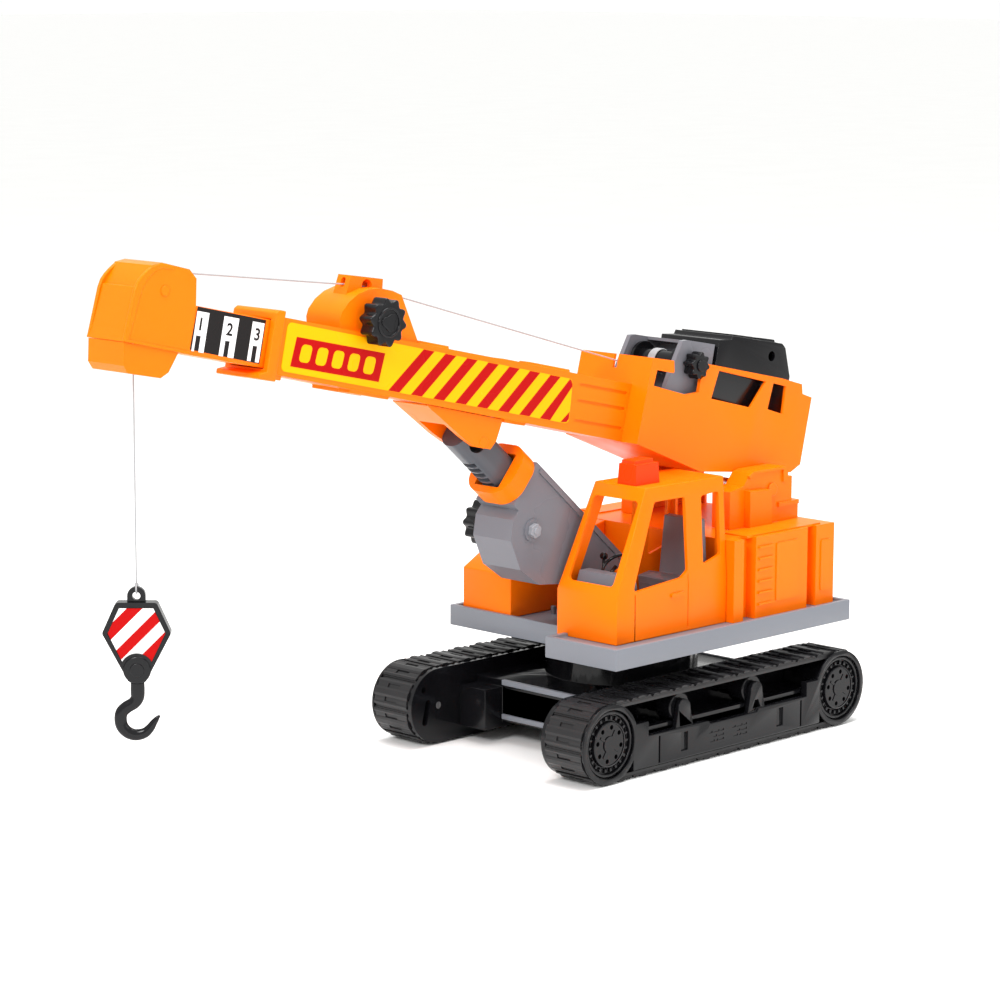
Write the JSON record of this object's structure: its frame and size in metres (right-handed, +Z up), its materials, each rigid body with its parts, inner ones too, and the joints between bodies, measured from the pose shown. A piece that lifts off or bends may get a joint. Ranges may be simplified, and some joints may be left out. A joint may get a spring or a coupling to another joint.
{
  "type": "toy crawler crane",
  "caption": "Toy crawler crane on moulded tracks, with a turning deck, open cab, luffing telescopic boom driven by knobs and racks, and a winch with a hook block on a thin line.",
  "frame": {"origin": "On the ground, under the middle of the crane's box, measured without the hoist line.", "axes": "+X runs forward, from the rear of the boom housing to the boom head. +Y is to the left, the cab's side. +Z is up."},
  "size_m": [0.5122, 0.1652, 0.2956],
  "materials": {
    "orange_plastic": "moulded orange plastic, satin to glossy",
    "light_grey_plastic": "moulded light grey plastic",
    "mid_grey_plastic": "moulded silver grey plastic",
    "dark_grey_plastic": "moulded dark grey plastic",
    "black_plastic": "moulded black plastic, slightly glossy",
    "track_rubber": "flexible black track belt",
    "steel": "plain steel pins and screws",
    "stripe_print": "printed self-adhesive film with diagonal stripes",
    "number_print": "printed self-adhesive film with three numerals",
    "white_line": "thin twisted white cord"
  },
  "bodies": {
    "undercarriage": {"centre_chassis": "black_plastic", "track_frame_left": "black_plastic", "track_frame_right": "black_plastic", "side_plate_left": "black_plastic", "side_plate_right": "black_plastic", "track_belt_left": "track_rubber", "track_belt_right": "track_rubber", "wheel_axles": "steel"},
    "upperworks": {"deck": "light_grey_plastic", "screws": "steel", "slew_retainer": "black_plastic", "ram_pin": "steel", "cab_shell": "orange_plastic", "cab_interior": "mid_grey_plastic", "roof_box": "orange_plastic", "engine_housing": "orange_plastic", "right_side_box": "orange_plastic", "support_tower_left": "orange_plastic", "support_tower_right": "orange_plastic", "boom_pin": "steel"},
    "boom": {"boom_half_left": "orange_plastic", "boom_half_right": "orange_plastic", "boom_collar": "orange_plastic", "boom_gearbox": "orange_plastic", "winch_frame": "dark_grey_plastic", "winch_cover": "black_plastic", "rod_bracket": "orange_plastic", "rod_pin": "steel", "stripe_labels": "stripe_print", "hoist_line_rear": "white_line", "hoist_line_front": "white_line"},
    "extension": {"inner_boom": "orange_plastic", "head_shell": "orange_plastic", "head_lower": "orange_plastic", "sheave_pin": "steel", "number_labels": "number_print"},
    "sheave": {"head_sheave": "black_plastic"},
    "extend_drive": {"extend_pinion": "black_plastic", "extend_knob": "black_plastic"},
    "winch": {"winch_drum": "black_plastic", "winch_knob": "black_plastic"},
    "ram": {"ram_half_left": "mid_grey_plastic", "ram_half_right": "mid_grey_plastic", "ram_collar": "orange_plastic"},
    "rod": {"ram_rod": "dark_grey_plastic"},
    "luff_drive": {"luff_pinion": "black_plastic", "luff_knob": "black_plastic"},
    "line_wrap": {"hoist_line_wrap": "white_line"},
    "line_drop": {"hoist_line_drop": "white_line"},
    "block": {"hook_block": "black_plastic", "block_labels": "stripe_print"},
    "hook": {"crane_hook": "black_plastic"},
    "front_wheel_left": {"front_wheel_left": "black_plastic"},
    "rear_wheel_left": {"rear_wheel_left": "black_plastic"},
    "front_roller_left": {"front_roller_left": "black_plastic"},
    "rear_roller_left": {"rear_roller_left": "black_plastic"},
    "front_wheel_right": {"front_wheel_right": "black_plastic"},
    "rear_wheel_right": {"rear_wheel_right": "black_plastic"},
    "front_roller_right": {"front_roller_right": "black_plastic"},
    "rear_roller_right": {"rear_roller_right": "black_plastic"}
  },
  "joints": [
    {"name": "slew", "type": "hinge", "parent": "undercarriage", "child": "upperworks", "pos_m": [-0.12011, 0, 0.06], "axis": [0, 0, 1], "continuous": true},
    {"name": "front_wheel_left_turn", "type": "hinge", "parent": "undercarriage", "child": "front_wheel_left", "pos_m": [-0.02111, 0.067, 0.0228], "axis": [0, 1, 0], "continuous": true},
    {"name": "rear_wheel_left_turn", "type": "hinge", "parent": "undercarriage", "child": "rear_wheel_left", "pos_m": [-0.21911, 0.067, 0.0228], "axis": [0, 1, 0], "continuous": true},
    {"name": "front_roller_left_turn", "type": "hinge", "parent": "undercarriage", "child": "front_roller_left", "pos_m": [-0.08321, 0.067, 0.033], "axis": [0, 1, 0], "continuous": true},
    {"name": "rear_roller_left_turn", "type": "hinge", "parent": "undercarriage", "child": "rear_roller_left", "pos_m": [-0.14541, 0.067, 0.033], "axis": [0, 1, 0], "continuous": true},
    {"name": "front_wheel_right_turn", "type": "hinge", "parent": "undercarriage", "child": "front_wheel_right", "pos_m": [-0.02111, -0.067, 0.0228], "axis": [0, 1, 0], "continuous": true},
    {"name": "rear_wheel_right_turn", "type": "hinge", "parent": "undercarriage", "child": "rear_wheel_right", "pos_m": [-0.21911, -0.067, 0.0228], "axis": [0, 1, 0], "continuous": true},
    {"name": "front_roller_right_turn", "type": "hinge", "parent": "undercarriage", "child": "front_roller_right", "pos_m": [-0.08321, -0.067, 0.033], "axis": [0, 1, 0], "continuous": true},
    {"name": "rear_roller_right_turn", "type": "hinge", "parent": "undercarriage", "child": "rear_roller_right", "pos_m": [-0.14541, -0.067, 0.033], "axis": [0, 1, 0], "continuous": true},
    {"name": "boom_luff", "type": "hinge", "parent": "upperworks", "child": "boom", "pos_m": [-0.20261, 0, 0.1375], "axis": [0, -1, 0], "range_deg": [0, 34]},
    {"name": "ram_tilt", "type": "hinge", "parent": "upperworks", "child": "ram", "pos_m": [-0.11351, 0, 0.0803], "axis": [0, -1, 0], "range_deg": [0, 34.9]},
    {"name": "rod_slide", "type": "slide", "parent": "ram", "child": "rod", "axis": [0.7602, 0, 0.6497], "range_m": [0, 0.0621]},
    {"name": "luff_knob_turn", "type": "hinge", "parent": "ram", "child": "luff_drive", "pos_m": [-0.02937, 0, 0.13115], "axis": [0, 1, 0], "range_deg": [0, 473]},
    {"name": "boom_extend", "type": "slide", "parent": "boom", "child": "extension", "axis": [0.9767, 0, 0.2147], "range_m": [-0.042, 0.09], "deforming": ["hoist_line_front"]},
    {"name": "extend_knob_turn", "type": "hinge", "parent": "boom", "child": "extend_drive", "pos_m": [0.0912, 0, 0.25647], "axis": [0, 1, 0], "range_deg": [-492, 231]},
    {"name": "winch_turn", "type": "hinge", "parent": "boom", "child": "winch", "pos_m": [-0.15272, 0, 0.21328], "axis": [0, 1, 0], "range_deg": [-410, 737]},
    {"name": "sheave_spin", "type": "hinge", "parent": "extension", "child": "sheave", "pos_m": [0.22991, 0, 0.28174], "axis": [0, 1, 0], "range_deg": [-574, 319]},
    {"name": "line_plumb", "type": "hinge", "parent": "extension", "child": "line_wrap", "pos_m": [0.22991, 0, 0.28174], "axis": [0, -1, 0], "range_deg": [-34.1, 0]},
    {"name": "line_sway", "type": "hinge", "parent": "line_wrap", "child": "line_drop", "pos_m": [0.23891, 0, 0.28174], "axis": [1, 0, 0], "range_deg": [-20, 20]},
    {"name": "hook_hoist", "type": "slide", "parent": "line_drop", "child": "block", "axis": [0, 0, 1], "range_m": [-0.05, 0.09], "deforming": ["hoist_line_drop"]},
    {"name": "hook_swivel", "type": "hinge", "parent": "block", "child": "hook", "pos_m": [0.23891, 0, 0.08], "axis": [0, 0, 1], "continuous": true}
  ],
  "couplings": [
    {"joint": "rear_wheel_left_turn", "follows": "front_wheel_left_turn", "ratio": 1},
    {"joint": "front_roller_left_turn", "follows": "front_wheel_left_turn", "ratio": 3.4182},
    {"joint": "rear_roller_left_turn", "follows": "front_wheel_left_turn", "ratio": 3.4182},
    {"joint": "rear_wheel_right_turn", "follows": "front_wheel_right_turn", "ratio": 1},
    {"joint": "front_roller_right_turn", "follows": "front_wheel_right_turn", "ratio": 3.4182},
    {"joint": "rear_roller_right_turn", "follows": "front_wheel_right_turn", "ratio": 3.4182},
    {"joint": "ram_tilt", "follows": "boom_luff", "ratio": 1.024},
    {"joint": "rod_slide", "follows": "boom_luff", "m_per_rad": 0.1042},
    {"joint": "luff_knob_turn", "follows": "boom_luff", "ratio": 13.893},
    {"joint": "line_plumb", "follows": "boom_luff", "ratio": -1},
    {"joint": "extend_knob_turn", "follows": "boom_extend", "rad_per_m": -95.238},
    {"joint": "winch_turn", "follows": "hook_hoist", "rad_per_m": 142.86},
    {"joint": "sheave_spin", "follows": "hook_hoist", "rad_per_m": -111.11}
  ]
}
